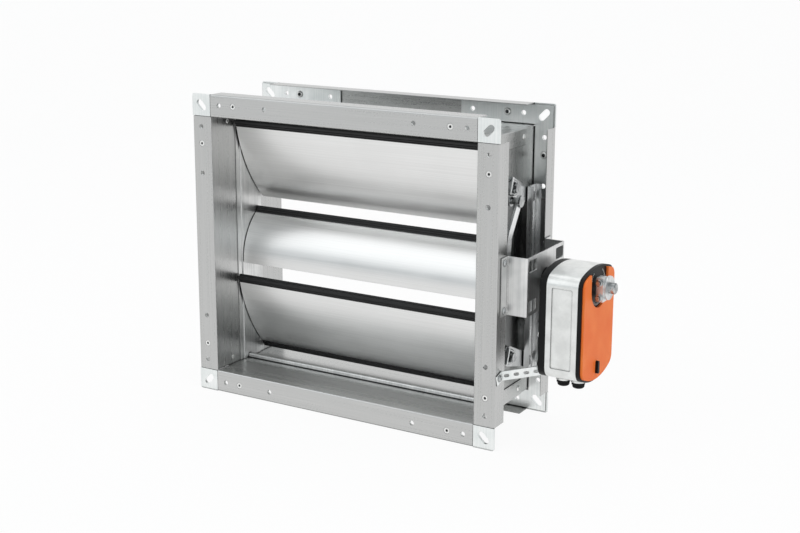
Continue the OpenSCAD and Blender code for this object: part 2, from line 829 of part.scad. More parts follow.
// Tubular housing with a sunk panel in each side and two pads for the glands
gland_r = 6;
gland_x = [body_x + 10.5, ring_x - 10.5];
gland_y = axle_y - 13;
pad_z = -act_down - 1;
pad_t = body_wall + 3.6;
module actuator_housing() {
    sunk = 1;
    panel_low = 22 - act_down;
    panel_high = 4;
    panel_edge = 7;
    color(casting) difference() {
        union() {
            at_axle("middle") along_x(body_x, ring_x) difference() {
                actuator_outline();
                actuator_outline(body_wall);
            }
            for (x = gland_x) translate([x, gland_y, pad_z]) cylinder(h = pad_t, r = gland_r + 3.5);
        }
        for (y = [-1, 1]) translate([(body_x + ring_x) / 2, axle_y + y * act_w / 2, 0]) {
            along_y(-sunk, sunk) translate([0, (panel_low + panel_high) / 2]) {
                rounded(body_t - 2 * panel_edge, panel_high - panel_low, 2);
            }
        }
        for (x = gland_x) translate([x, gland_y, pad_z - 1]) cylinder(h = pad_t + 2, r = gland_r + slip / 2);
    }
}

// Place and outline of the release button in the front plate and the cover
button_at = [-3, 18 - act_down];
button = [5, 16];
button_round = 2;
module button_outline(grow) {
    translate(button_at) rounded(button[0] + 2 * grow, button[1] + 2 * grow, button_round + grow);
}

// Plate behind the cover, with a rim into the housing
module front_plate() {
    floor_t = 2;
    color(plastic) at_axle("middle") difference() {
        along_x(ring_x, cover_x) actuator_outline();
        along_x(ring_x - 1, cover_x - floor_t) difference() {
            actuator_outline(body_wall);
            circle(hub_r + 3);
        }
        rod_x(ring_x - 1, cover_x + 1, hub_r + run_fit);
        along_x(ring_x, cover_x + 1) button_outline(0.3);
    }
}
// Cover plate with an opening for the shaft clamp
module actuator_cover() {
    opening = 26;
    color(orange) at_axle("middle") along_x(cover_x, front_x) difference() {
        actuator_outline(2.5);
        circle(opening);
        translate([-opening, 0]) square([2 * opening, act_up + 1]);
        button_outline(0.3);
    }
}
// Button that frees the gearing when it is pressed
press = 2.5;
module release_button() {
    back = ring_x - 0.3;
    color(plastic) at_axle("middle") {
        along_x(back + 1.5, front_x + press + 1) button_outline(0);
        along_x(back, ring_x + 2) button_outline(1.2);
    }
}
// Glands for the cords, with nothing passed through them
gland_flange = 3.5;
gland_out = 8;
module cable_glands() {
    dome = 1.5;
    color(plastic) for (x = gland_x) translate([x, gland_y, pad_z]) difference() {
        union() {
            cylinder(h = pad_t + 3, r = gland_r);
            translate([0, 0, -gland_flange]) cylinder(h = gland_flange, r = gland_r + 3.4, $fn = 6);
            translate([0, 0, dome - gland_out]) cylinder(h = gland_out - dome, r = gland_r + 1.6);
            translate([0, 0, -gland_out]) cylinder(h = dome, r1 = gland_r, r2 = gland_r + 1.6);
            translate([0, 0, pad_t]) cylinder(h = 3, r = gland_r + 2, $fn = 6);
        }
        translate([0, 0, -gland_out - 1]) cylinder(h = pad_t + gland_out + 5, r = gland_r - 2.2);
    }
}

// Sleeve of the actuator that turns with the drive shaft
clamp_in = front_x + 1.5;
clamp_out = clamp_in + 9;
module drive_hub() {
    color(steel) at_axle("middle") difference() {
        rod_x(base_x - 1, clamp_in, hub_r);
        rod_x(base_x - 2, stub_x, drive_r + slip / 2);
    }
}
// Clamp of the shaft: a round plate with a jaw behind it, which a bent bolt draws to the shaft
jaw_face = -drive_r - 9;
jaw_half = 15;
jaw_gap = 3;
plate_t = 2.5;
bolt_r = 2.5;
bolt_x = (clamp_in + clamp_out) / 2;
bolt_z = drive_r + bolt_r + slip / 2;
nut_t = 4;
module shaft_clamp() {
    color(steel) at_axle("middle") difference() {
        union() {
            along_x(clamp_in, clamp_out) {
                translate([jaw_face, -jaw_half]) square([-jaw_face - jaw_gap, 2 * jaw_half]);
            }
            rod_x(clamp_out, clamp_out + plate_t, jaw_half);
        }
        rod_x(clamp_in - 1, stub_x, drive_r + slip / 2);
        for (z = [-1, 1]) translate([bolt_x, 0, z * bolt_z]) rod_y(jaw_face - 1, 0, bolt_r + slip / 2);
    }
}
module clamp_bolt() {
    color(steel) at_axle("middle") {
        translate([bolt_x, 0, 0]) rotate([90, 0, 90]) rotate([0, 0, -90]) {
            rotate_extrude(angle = 180) translate([bolt_z, 0]) circle(bolt_r, $fn = 24);
        }
        for (z = [-1, 1]) translate([bolt_x, 0, z * bolt_z]) rod_y(jaw_face - nut_t - 2, 0, bolt_r);
    }
}
module clamp_nuts() {
    color(steel) at_axle("middle") for (z = [-1, 1]) translate([bolt_x, 0, z * bolt_z]) difference() {
        translate([0, jaw_face, 0]) rotate([90, 30, 0]) cylinder(h = nut_t, r = 2 * bolt_r - 0.4, $fn = 6);
        rod_y(jaw_face - nut_t - 1, jaw_face + 1, bolt_r + slip / 2);
    }
}

// Slotted strap that keeps the actuator from turning about the shaft, drawn from its
// screw in the flange lip and then leant
strap_foot = lip_x + strap_t / 2;
strap_top = base_x - strap_t / 2;
strap_bend = 6;
strap_land = 34;
strap_tail = 8;
strap_slot = [7, 4.5];
module on_strap() {
    translate([0, strap_y, strap_z]) rotate([strap_lean, 0, 0]) children();
}
module perforated_strap() {
    slope = atan2(strap_land - strap_bend, strap_top - strap_foot);
    run = norm([strap_land - strap_bend, strap_top - strap_foot]);
    color(bright_zinc) on_strap() difference() {
        along_z(-strap_w / 2, strap_w / 2) folded([
            [strap_foot, -strap_tail],
            [strap_foot, strap_bend],
            [strap_top, strap_land],
            [strap_top, strap_reach + strap_tail]
        ], strap_t);
        rod_x(lip_x - 1, strap_top, screw_r + slip / 2);
        translate([0, strap_reach, 0]) rod_x(lip_x, base_x + 1, screw_r + slip / 2);
        for (i = [1, 3, 5, 7]) translate([strap_foot, strap_bend, 0]) rotate([0, 0, slope]) {
            translate([run * i / 8, 0, 0]) along_y(-3, 3) rounded(strap_slot[0], strap_slot[1], 2.2);
        }
    }
}
module strap_screws() {
    color(steel) on_strap() {
        pan_screw(lip_x + strap_t, 7);
        translate([0, strap_reach, 0]) mirror([1, 0, 0]) pan_screw(strap_t - base_x, 7);
    }
}

level_panel(1);  // top_panel
level_panel(-1);  // bottom_panel
side_panel(-1);  // left_panel
side_panel(1);  // right_panel
for (c = CORNERS) corner_plate(c[1], c[2], c[3]);
flange_rivets("front");  // front_rivets
flange_rivets("back");  // back_rivets
seam_rivets();
top_stop();
bottom_stop();
side_seal(-1);  // left_side_seal
side_seal(1);  // right_side_seal
for (b = BUSHES) bush(b[1], b[2]);
top_blade();
middle_blade();
bottom_blade();
top_blade_seal();
middle_blade_seal();
bottom_blade_seals();
axle("top");  // top_axle
axle("bottom");  // bottom_axle
drive_shaft();
outer_crank("top");  // top_crank
outer_crank("bottom");  // bottom_crank
drive_crank();
crank_clamp("top");  // top_crank_clamp
crank_clamp("bottom");  // bottom_crank_clamp
bar_pin_at_crank("top");  // bar_pin_top
bar_pin_at_crank("bottom");  // bar_pin_bottom
cross_pin("top", link_pin);  // cross_pin_top
cross_pin("middle", drive_pin);  // cross_pin_drive
link_bar();
cross_link();
actuator_bracket();
bracket_screws();
shaft_bush();
actuator_base();
actuator_housing();
front_plate();
actuator_cover();
release_button();
cable_glands();
drive_hub();
shaft_clamp();
clamp_bolt();
clamp_nuts();
perforated_strap();
strap_screws();
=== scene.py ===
import bmesh
import bpy
import json
import math
import random
from mathutils import Matrix, Vector

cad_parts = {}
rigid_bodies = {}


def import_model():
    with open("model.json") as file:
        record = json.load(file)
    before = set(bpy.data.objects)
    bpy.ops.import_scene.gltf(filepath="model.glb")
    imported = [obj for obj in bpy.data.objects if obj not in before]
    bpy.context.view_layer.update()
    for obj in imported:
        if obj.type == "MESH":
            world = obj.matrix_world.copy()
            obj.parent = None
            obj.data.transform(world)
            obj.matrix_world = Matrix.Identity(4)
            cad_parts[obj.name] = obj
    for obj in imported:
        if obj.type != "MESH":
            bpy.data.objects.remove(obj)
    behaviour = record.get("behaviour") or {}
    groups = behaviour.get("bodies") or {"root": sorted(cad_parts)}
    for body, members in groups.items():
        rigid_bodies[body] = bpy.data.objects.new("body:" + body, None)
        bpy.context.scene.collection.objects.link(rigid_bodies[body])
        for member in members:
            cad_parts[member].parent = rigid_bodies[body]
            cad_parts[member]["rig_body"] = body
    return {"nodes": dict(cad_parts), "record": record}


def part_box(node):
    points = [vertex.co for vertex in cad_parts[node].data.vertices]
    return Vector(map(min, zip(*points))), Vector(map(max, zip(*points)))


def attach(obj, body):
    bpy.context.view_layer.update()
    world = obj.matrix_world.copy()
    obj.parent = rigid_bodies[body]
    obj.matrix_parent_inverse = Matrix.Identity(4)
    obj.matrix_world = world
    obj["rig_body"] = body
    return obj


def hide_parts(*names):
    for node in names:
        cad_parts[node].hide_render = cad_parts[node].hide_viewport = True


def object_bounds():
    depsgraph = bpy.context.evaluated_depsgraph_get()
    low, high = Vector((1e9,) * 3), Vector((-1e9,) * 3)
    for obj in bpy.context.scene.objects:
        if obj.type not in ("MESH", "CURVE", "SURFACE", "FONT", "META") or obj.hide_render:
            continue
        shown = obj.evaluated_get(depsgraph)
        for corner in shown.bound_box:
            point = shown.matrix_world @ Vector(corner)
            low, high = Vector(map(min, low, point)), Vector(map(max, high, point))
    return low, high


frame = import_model()
cad_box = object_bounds()
nodes = frame["nodes"]
MM = 0.001

# Sizes of the damper, in millimetres and degrees, as the construction has them
CASE_D = 160.0
AXLE_Y = CASE_D / 2
WALL_X = 201.2
SEAM_EDGE = 1.2
LIP_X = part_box("right_panel")[1].x / MM
BLADE_PITCH = 110.0
BLADE_HALF = 197.0
OUTER_HALF = 66.0
MIDDLE_HALF = 43.5
REST_OPEN = 27.0
SEAL_T = 8.5
SEAL_OUT = 9.5
COVER_X = 327.0
SHANK = 7.0
HEAD = 2.4
GLAND_DROP = 8.0


# Node trees, for materials and for geometry alike
def linear(code):
    """sRGB hex to the linear colour that the shaders take."""
    parts = [int(code[i:i + 2], 16) / 255 for i in (0, 2, 4)]
    return [c / 12.92 if c <= 0.04045 else ((c + 0.055) / 1.055) ** 2.4 for c in parts] + [1.0]


def add(tree, kind, inputs=None, **settings):
    """Adds a node; inputs maps a socket's name or number to a value or to another socket."""
    n = tree.nodes.new(kind)
    for key, value in settings.items():
        setattr(n, key, value)
    for key, value in (inputs or {}).items():
        if isinstance(value, bpy.types.NodeSocket):
            tree.links.new(value, n.inputs[key])
        else:
            n.inputs[key].default_value = value
    return n


def start(name):
    """A material with a Principled shader on its output, and its place on the object."""
    material = bpy.data.materials.new(name)
    material.use_nodes = True
    tree = material.node_tree
    tree.nodes.clear()
    place = add(tree, "ShaderNodeTexCoord").outputs["Object"]
    shader = add(tree, "ShaderNodeBsdfPrincipled")
    add(tree, "ShaderNodeOutputMaterial", {"Surface": shader.outputs[0]})
    return material, tree, place, shader


def dress(tree, shader, colour, gloss, relief, even):
    """Links a shader's colour, roughness and relief, and sets the sockets that are even all over."""
    tree.links.new(colour, shader.inputs["Base Color"])
    tree.links.new(gloss, shader.inputs["Roughness"])
    tree.links.new(relief, shader.inputs["Normal"])
    for socket, value in even.items():
        shader.inputs[socket].default_value = value


def two_tone(tree, tone, low, high, dark, light):
    """Goes from the dark to the light shade while the tone rises from low to high."""
    share = add(tree, "ShaderNodeMapRange", {0: tone, 1: low, 2: high}).outputs[0]
    return add(tree, "ShaderNodeMix", {0: share, 6: linear(dark), 7: linear(light)},
               data_type="RGBA").outputs[2]


def soft_edged(tree, height, strength, depth, radius):
    """Relief of a pattern's height, on edges that are rounded a little; depth and radius in mm."""
    edge = add(tree, "ShaderNodeBevel", {"Radius": radius * MM}, samples=4).outputs[0]
    return add(tree, "ShaderNodeBump", {"Strength": strength, "Distance": depth * MM,
                                        "Height": height, "Normal": edge}).outputs[0]


# Painted shade on the metal, with a grey dusting in the creases and joints
# how far from another face the painted crease shade reaches, in mm
CREASE_SHADE_REACH = 2.5
# how far the painted shade in the recess darkens the zinc at its fullest
RECESS_SHADE_SHARE = 0.62


def dust_and_painted_shade(tree, colour, amount):
    """Painted shade with a grey dusting in creases and joints, where another face is within reach."""
    creases = add(tree, "ShaderNodeAmbientOcclusion", {"Distance": CREASE_SHADE_REACH * MM}, samples=6)
    dust_and_shade = add(tree, "ShaderNodeMapRange", {0: creases.outputs["AO"], 1: 0.95, 2: 0.5, 4: amount})
    # 2f3131 is the colour of the painted crease shade and its dusting
    return add(tree, "ShaderNodeMix", {0: dust_and_shade.outputs[0], 6: colour, 7: linear("2f3131")},
               data_type="RGBA").outputs[2]


def painted_recess_shade(tree, place, colour):
    """Painted shade that darkens the right panel's recess round the linkage, out of the light."""
    split = add(tree, "ShaderNodeSeparateXYZ", {0: place})
    recess_shade_share = RECESS_SHADE_SHARE
    # each row is an axis, and where along it the painted shade starts and where it is full, in mm
    for axis, unshaded, full in ((0, LIP_X - 1, LIP_X - 7),
                              (1, 2.5, 9),
                              (1, CASE_D + 1, CASE_D - 9),
                              (2, BLADE_PITCH + 8, BLADE_PITCH - 34),
                              (2, -BLADE_PITCH - 42, -BLADE_PITCH)):
        rise = add(tree, "ShaderNodeMapRange", {0: split.outputs[axis], 1: unshaded * MM, 2: full * MM},
                   interpolation_type="SMOOTHSTEP").outputs[0]
        recess_shade_share = add(tree, "ShaderNodeMath", {0: recess_shade_share, 1: rise}, operation="MULTIPLY").outputs[0]
    # 3c3e40 is the colour of the painted shade in the recess
    return add(tree, "ShaderNodeMix", {0: recess_shade_share, 6: colour, 7: linear("3c3e40")},
               data_type="RGBA").outputs[2]


# Materials; a stretch factor far below 1 draws a pattern out along that axis
ALONG_X = (0.01, 1.0, 1.0)
ALONG_Z = (1.0, 1.0, 0.01)
DIE_LINES = (0.006, 1.0, 1.0)
TURNED = (1.0, 0.04, 0.04)


def rolled_sheet(name, along, dark, light, rough, in_shaded_recess=False):
    """Hot-dip galvanised and skin-passed steel sheet: a satin, nearly even grey with hair-fine rolling
    lines along the strip, wider and fainter bands between them, and dull freckles of frozen zinc."""
    material, tree, place, shader = start(name)
    drawn = add(tree, "ShaderNodeMapping", {"Vector": place, "Scale": along}).outputs[0]
    # rolling lines lie 0.2 mm apart on the real sheet and are drawn 1.5 mm apart so that they show
    lines = add(tree, "ShaderNodeTexNoise", {"Vector": drawn, "Scale": 650.0, "Detail": 3.0,
                                             "Roughness": 0.6}).outputs[0]
    # bands of 12 mm come from the rolls, and freckles of 2.5 mm are the zinc's grains
    bands = add(tree, "ShaderNodeTexNoise", {"Vector": drawn, "Scale": 80.0, "Detail": 2.0}).outputs[0]
    grains = add(tree, "ShaderNodeTexNoise", {"Vector": place, "Scale": 400.0, "Detail": 2.0}).outputs[0]
    tone = add(tree, "ShaderNodeMath", {0: lines, 1: 0.5}, operation="MULTIPLY").outputs[0]
    for pattern, share in ((bands, 0.35), (grains, 0.15)):
        tone = add(tree, "ShaderNodeMath", {0: pattern, 1: share, 2: tone},
                   operation="MULTIPLY_ADD").outputs[0]
    colour = two_tone(tree, tone, 0.38, 0.62, dark, light)
    # the right panel's sheet gets painted shade in its recess round the linkage
    if in_shaded_recess:
        colour = painted_recess_shade(tree, place, colour)
    gloss = add(tree, "ShaderNodeMapRange", {0: tone, 1: 0.4, 2: 0.6, 3: rough - 0.04, 4: rough + 0.05})
    relief = soft_edged(tree, tone, 0.05, 0.2, 0.4)
    # the colour takes painted shade with a grey dusting in creases and joints
    dress(tree, shader, dust_and_painted_shade(tree, colour, 0.85), gloss.outputs[0], relief, {"Metallic": 1.0})
    return material


def plated_steel(name, dark, light, rough):
    """Stamped mild steel with a bright zinc plating: lighter than the sheet and more even, with faint
    drawing lines and broad, soft stains where it was handled."""
    material, tree, place, shader = start(name)
    drawn = add(tree, "ShaderNodeMapping", {"Vector": place, "Scale": ALONG_Z}).outputs[0]
    # drawing lines of 0.2 mm are drawn 2 mm apart so that they show
    lines = add(tree, "ShaderNodeTexNoise", {"Vector": drawn, "Scale": 500.0, "Detail": 2.0}).outputs[0]
    stains = add(tree, "ShaderNodeTexNoise", {"Vector": place, "Scale": 45.0, "Detail": 3.0}).outputs[0]
    lined = add(tree, "ShaderNodeMath", {0: lines, 1: 0.5}, operation="MULTIPLY").outputs[0]
    tone = add(tree, "ShaderNodeMath", {0: stains, 1: 0.5, 2: lined},
               operation="MULTIPLY_ADD").outputs[0]
    # the colour takes painted shade with a grey dusting in creases and joints
    colour = dust_and_painted_shade(tree, two_tone(tree, tone, 0.38, 0.62, dark, light), 0.85)
    gloss = add(tree, "ShaderNodeMapRange", {0: tone, 1: 0.4, 2: 0.6, 3: rough + 0.05, 4: rough - 0.04})
    relief = soft_edged(tree, lines, 0.03, 0.2, 0.35)
    dress(tree, shader, colour, gloss.outputs[0], relief, {"Metallic": 1.0})
    return material


def drawn_aluminium(name, dark, light, rough):
    """Aluminium blade section as it left the die: a silky sheen with long, faint die lines."""
    material, tree, place, shader = start(name)
    drawn = add(tree, "ShaderNodeMapping", {"Vector": place, "Scale": DIE_LINES}).outputs[0]
    # die lines of 0.1 mm are drawn 1.2 mm apart so that they show
    lines = add(tree, "ShaderNodeTexNoise", {"Vector": drawn, "Scale": 800.0, "Detail": 3.0}).outputs[0]
    haze = add(tree, "ShaderNodeTexNoise", {"Vector": place, "Scale": 12.0, "Detail": 2.0}).outputs[0]
    lined = add(tree, "ShaderNodeMath", {0: lines, 1: 0.6}, operation="MULTIPLY").outputs[0]
    tone = add(tree, "ShaderNodeMath", {0: haze, 1: 0.4, 2: lined},
               operation="MULTIPLY_ADD").outputs[0]
    colour = two_tone(tree, tone, 0.38, 0.62, dark, light)
    gloss = add(tree, "ShaderNodeMapRange", {0: tone, 1: 0.4, 2: 0.6, 3: rough - 0.03, 4: rough + 0.04})
    relief = soft_edged(tree, lines, 0.02, 0.2, 0.3)
    dress(tree, shader, colour, gloss.outputs[0], relief, {"Metallic": 1.0})
    return material


def turned_steel(name, dark, light, rough):
    """Turned or headed steel with a thin zinc plating: fine turning rings, and darker where touched."""
    material, tree, place, shader = start(name)
    ringed = add(tree, "ShaderNodeMapping", {"Vector": place, "Scale": TURNED}).outputs[0]
    # turning rings of 0.1 mm are drawn 0.7 mm apart so that they show
    rings = add(tree, "ShaderNodeTexNoise", {"Vector": ringed, "Scale": 1400.0,
                                             "Detail": 2.0}).outputs[0]
    marks = add(tree, "ShaderNodeTexNoise", {"Vector": place, "Scale": 120.0, "Detail": 3.0}).outputs[0]
    colour = two_tone(tree, marks, 0.35, 0.6, dark, light)
    gloss = add(tree, "ShaderNodeMapRange", {0: rings, 1: 0.3, 2: 0.7, 3: rough - 0.06, 4: rough + 0.06})
    relief = soft_edged(tree, rings, 0.05, 0.1, 0.25)
    dress(tree, shader, colour, gloss.outputs[0], relief, {"Metallic": 1.0})
    return material


def extruded_rubber(name, dark, light):
    """Extruded EPDM rubber: deep satin black, drawn lines along its length and a trace of grey bloom."""
    material, tree, place, shader = start(name)
    drawn = add(tree, "ShaderNodeMapping", {"Vector": place, "Scale": ALONG_X}).outputs[0]
    lines = add(tree, "ShaderNodeTexNoise", {"Vector": drawn, "Scale": 900.0, "Detail": 2.0}).outputs[0]
    bloom = add(tree, "ShaderNodeTexNoise", {"Vector": place, "Scale": 60.0, "Detail": 3.0}).outputs[0]
    colour = two_tone(tree, bloom, 0.35, 0.7, dark, light)
    gloss = add(tree, "ShaderNodeMapRange", {0: lines, 1: 0.3, 2: 0.7, 3: 0.42, 4: 0.56})
    relief = add(tree, "ShaderNodeBump", {"Strength": 0.15, "Distance": 0.2 * MM, "Height": lines})
    dress(tree, shader, colour, gloss.outputs[0], relief.outputs[0],
          {"IOR": 1.52, "Specular IOR Level": 0.38})
    return material


def moulded_plastic(name, dark, light, rough, specular, grain, strength):
    """Injection-moulded plastic: an even colour under a spark-eroded grain, with slightly darker clouds
    where the melt flowed, and softly rounded edges."""
    material, tree, place, shader = start(name)
    skin = add(tree, "ShaderNodeTexNoise", {"Vector": place, "Scale": grain, "Detail": 2.0}).outputs[0]
    flow = add(tree, "ShaderNodeTexNoise", {"Vector": place, "Scale": 28.0, "Detail": 2.0}).outputs[0]
    colour = two_tone(tree, flow, 0.35, 0.65, dark, light)
    gloss = add(tree, "ShaderNodeMapRange", {0: skin, 1: 0.3, 2: 0.7, 3: rough - 0.05, 4: rough + 0.06})
    relief = soft_edged(tree, skin, strength, 0.2, 0.5)
    dress(tree, shader, colour, gloss.outputs[0], relief, {"IOR": 1.53, "Specular IOR Level": specular})
    return material


def blasted_casting(name, dark, light, rough):
    """Die-cast aluminium, blasted and clear coated: pale satin grey with a fine pebbled skin, faint
    cloudy flow marks, and painted shade with a grey dusting along the step of its sunk side panels."""
    material, tree, place, shader = start(name)
    # grit marks of 0.15 mm are drawn 1 mm wide so that they show
    skin = add(tree, "ShaderNodeTexNoise", {"Vector": place, "Scale": 900.0, "Detail": 2.0}).outputs[0]
    flow = add(tree, "ShaderNodeTexNoise", {"Vector": place, "Scale": 55.0, "Detail": 3.0,
                                            "Roughness": 0.6}).outputs[0]
    # the colour takes painted shade with a grey dusting in creases and along the panel step
    colour = dust_and_painted_shade(tree, two_tone(tree, flow, 0.35, 0.65, dark, light), 0.9)
    gloss = add(tree, "ShaderNodeMapRange", {0: skin, 1: 0.3, 2: 0.7, 3: rough - 0.05, 4: rough + 0.06})
    relief = soft_edged(tree, skin, 0.08, 0.2, 0.6)
    dress(tree, shader, colour, gloss.outputs[0], relief,
          {"Metallic": 0.8, "Coat Weight": 0.1, "Coat Roughness": 0.3})
    return material


level_sheet = rolled_sheet("galvanised_sheet_rolled_level", ALONG_X, "bbbcbb", "c9c9c8", 0.30)
upright_sheet = rolled_sheet("galvanised_sheet_rolled_upright", ALONG_Z, "b9bab9", "c6c6c5", 0.29)
# the right panel's copy of the upright sheet, with painted shade in its recess
linkage_side = rolled_sheet("galvanised_sheet_with_painted_recess_shade", ALONG_Z, "b9bab9", "c6c6c5", 0.29, True)
corner_zinc = plated_steel("zinc_plated_corner_stamping", "e6eae9", "f4f6f5", 0.34)
folded_zinc = plated_steel("zinc_plated_folded_strip", "cfd0cf", "e6e6e5", 0.40)
linkage_zinc = plated_steel("zinc_plated_linkage_steel", "c4c6c6", "e2e3e3", 0.34)
bar_zinc = plated_steel("zinc_plated_link_channel", "dfe0e0", "f2f3f3", 0.30)
blade_metal = drawn_aluminium("extruded_aluminium_blade", "e0e0df", "e9e9e8", 0.33)
bright_steel = turned_steel("turned_plated_steel", "8e9091", "bfc1c1", 0.24)
rivet_steel = turned_steel("headed_rivet_steel", "e8e8e6", "f6f6f4", 0.34)
pin_steel = turned_steel("broken_rivet_pin_steel", "2c2d2e", "4a4b4c", 0.45)
clamp_steel = turned_steel("sintered_clamp_steel", "c0c2c2", "e2e3e3", 0.38)
seal_rubber = extruded_rubber("extruded_epdm_rubber", "070708", "121314")
black_nylon = moulded_plastic("moulded_black_nylon", "060707", "0d0e0f", 0.46, 0.18, 1400.0, 0.08)
white_print = moulded_plastic("moulded_white_acetal", "c4c4c0", "d4d4d0", 0.45, 0.3, 1400.0, 0.05)
orange_abs = moulded_plastic("moulded_orange_abs", "fa762f", "ff843d", 0.46, 0.18, 1100.0, 0.06)
housing_metal = blasted_casting("die_cast_aluminium_housing", "dcdddb", "ecedeb", 0.36)

# Each CAD node gets its own finish, or that of its kind of piece, or that of its material slot
NODE_FINISH = {"top_panel": level_sheet, "bottom_panel": level_sheet,
               "left_panel": upright_sheet, "right_panel": linkage_side,
               "actuator_housing": housing_metal, "actuator_cover": orange_abs,
               "link_bar": bar_zinc, "cross_link": bar_zinc, "actuator_bracket": folded_zinc,
               "perforated_strap": corner_zinc, "shaft_clamp": clamp_steel}
KIND_FINISH = {"corner": corner_zinc, "crank": linkage_zinc}
SLOT_FINISH = {"zinc_sheet": level_sheet, "bright_zinc": folded_zinc, "blade_metal": blade_metal,
               "steel": bright_steel, "rubber": seal_rubber, "black_plastic": black_nylon,
               "housing_metal": housing_metal, "orange_plastic": orange_abs}
slot_of = {}
for part in frame["record"]["subparts"]:
    name = part["node"]
    slot_of[name] = part["material_slot"]
    of_its_kind = KIND_FINISH.get(name.split("_")[-1], SLOT_FINISH[slot_of[name]])
    nodes[name].data.materials.clear()
    nodes[name].data.materials.append(NODE_FINISH.get(name, of_its_kind))


# Solids made in code
def closed_mesh(name, shape, crease=38.0):
    """A finished mesh from a bmesh: outward faces, smooth but for edges sharper than the crease."""
    bmesh.ops.recalc_face_normals(shape, faces=shape.faces)
    for face in shape.faces:
        face.smooth = True
    for edge in shape.edges:
        edge.smooth = len(edge.link_faces) == 2 and edge.calc_face_angle() < math.radians(crease)
    mesh = bpy.data.meshes.new(name)
    shape.to_mesh(mesh)
    shape.free()
    return mesh


def new_object(name, data):
    """An object with that mesh, lamp or camera, in the scene."""
    obj = bpy.data.objects.new(name, data)
    bpy.context.scene.collection.objects.link(obj)
    return obj


def applied(obj):
    """The mesh that an object's modifiers make of it."""
    return bpy.data.meshes.new_from_object(obj.evaluated_get(bpy.context.evaluated_depsgraph_get()))


def turned(name, profile, steps, ring=False):
    """A solid turned about Z from (radius, height) pairs in mm, each a number or a function of the
    angle. A ring joins the last pair to the first, and any other profile starts and ends on the axis."""
    shape = bmesh.new()
    loops = []
    for radius, height in profile:
        loop = []
        for i in range(steps):
            angle = 2 * math.pi * i / steps
            r = radius(angle) if callable(radius) else radius
            h = height(angle) if callable(height) else height
            if r == 0 and loop:
                loop.append(loop[0])
            else:
                loop.append(shape.verts.new((r * math.cos(angle) * MM, r * math.sin(angle) * MM,
                                             h * MM)))
        loops.append(loop)
    pairs = list(zip(loops, loops[1:]))
    if ring:
        pairs.append((loops[-1], loops[0]))
    for low, high in pairs:
        for i in range(steps):
            j = (i + 1) % steps
            corners = list(dict.fromkeys([low[i], low[j], high[j], high[i]]))
            if len(corners) > 2:
                shape.faces.new(corners)
    return closed_mesh(name, shape)


def hexagon(flat):
    """Radius of a hexagon at an angle, from half its width across flats."""
    return lambda angle: flat / math.cos((angle + math.pi / 6) % (math.pi / 3) - math.pi / 6)


def block(shape, size, rise, turn=0.0):
    """Adds a block, size in mm, its middle risen along Z and turned about Z, and gives its corners."""
    place = Matrix.Rotation(turn, 4, "Z") @ Matrix.Translation((0, 0, rise * MM))
    scale = Matrix.Diagonal([side * MM for side in size] + [1])
    return bmesh.ops.create_cube(shape, size=1.0, matrix=place @ scale)["verts"]


def solids_of(node):
    """Middle of each separate solid of a CAD node."""
    shape = bmesh.new()
    shape.from_mesh(nodes[node].data)
    bmesh.ops.remove_doubles(shape, verts=shape.verts, dist=0.001 * MM)
    left = set(shape.verts)
    middles = []
    while left:
        group = []
        waiting = [left.pop()]
        while waiting:
            vert = waiting.pop()
            group.append(vert.co.copy())
            for edge in vert.link_edges:
                other = edge.other_vert(vert)
                if other in left:
                    left.remove(other)
                    waiting.append(other)
        low = Vector([min(c[i] for c in group) for i in range(3)])
        high = Vector([max(c[i] for c in group) for i in range(3)])
        middles.append((low + high) / 2)
    shape.free()
    return sorted(middles, key=lambda m: (round(m.x, 5), round(m.y, 5), round(m.z, 5)))


def repeat_tree():
    """Geometry nodes that put one shape on every point, its Z along the point's outward way."""
    tree = bpy.data.node_groups.new("fastener_on_each_point", "GeometryNodeTree")
    tree.interface.new_socket("points", in_out="INPUT", socket_type="NodeSocketGeometry")
    tree.interface.new_socket("shape", in_out="INPUT", socket_type="NodeSocketObject")
    tree.interface.new_socket("finish", in_out="INPUT", socket_type="NodeSocketMaterial")
    tree.interface.new_socket("whole", in_out="OUTPUT", socket_type="NodeSocketGeometry")
    given = add(tree, "NodeGroupInput")
    shape = add(tree, "GeometryNodeObjectInfo", {"Object": given.outputs["shape"]})
    outward, spin, stretch = [
        add(tree, "GeometryNodeInputNamedAttribute", {"Name": title},
            data_type="FLOAT_VECTOR").outputs[0] for title in ("outward", "spin", "stretch")]
    aim = add(tree, "FunctionNodeAlignRotationToVector", {"Vector": outward}, axis="Z").outputs[0]
    twist = add(tree, "FunctionNodeEulerToRotation", {0: spin}).outputs[0]
    turn = add(tree, "FunctionNodeRotateRotation", {0: aim, 1: twist}, rotation_space="LOCAL").outputs[0]
    copies = add(tree, "GeometryNodeInstanceOnPoints", {
        "Points": given.outputs["points"], "Instance": shape.outputs["Geometry"],
        "Rotation": turn, "Scale": stretch}).outputs[0]
    real = add(tree, "GeometryNodeRealizeInstances", {0: copies}).outputs[0]
    dressed = add(tree, "GeometryNodeSetMaterial", {
        "Geometry": real, "Material": given.outputs["finish"]})
    add(tree, "NodeGroupOutput", {0: dressed.outputs[0]})
    return tree


on_each_point = repeat_tree()


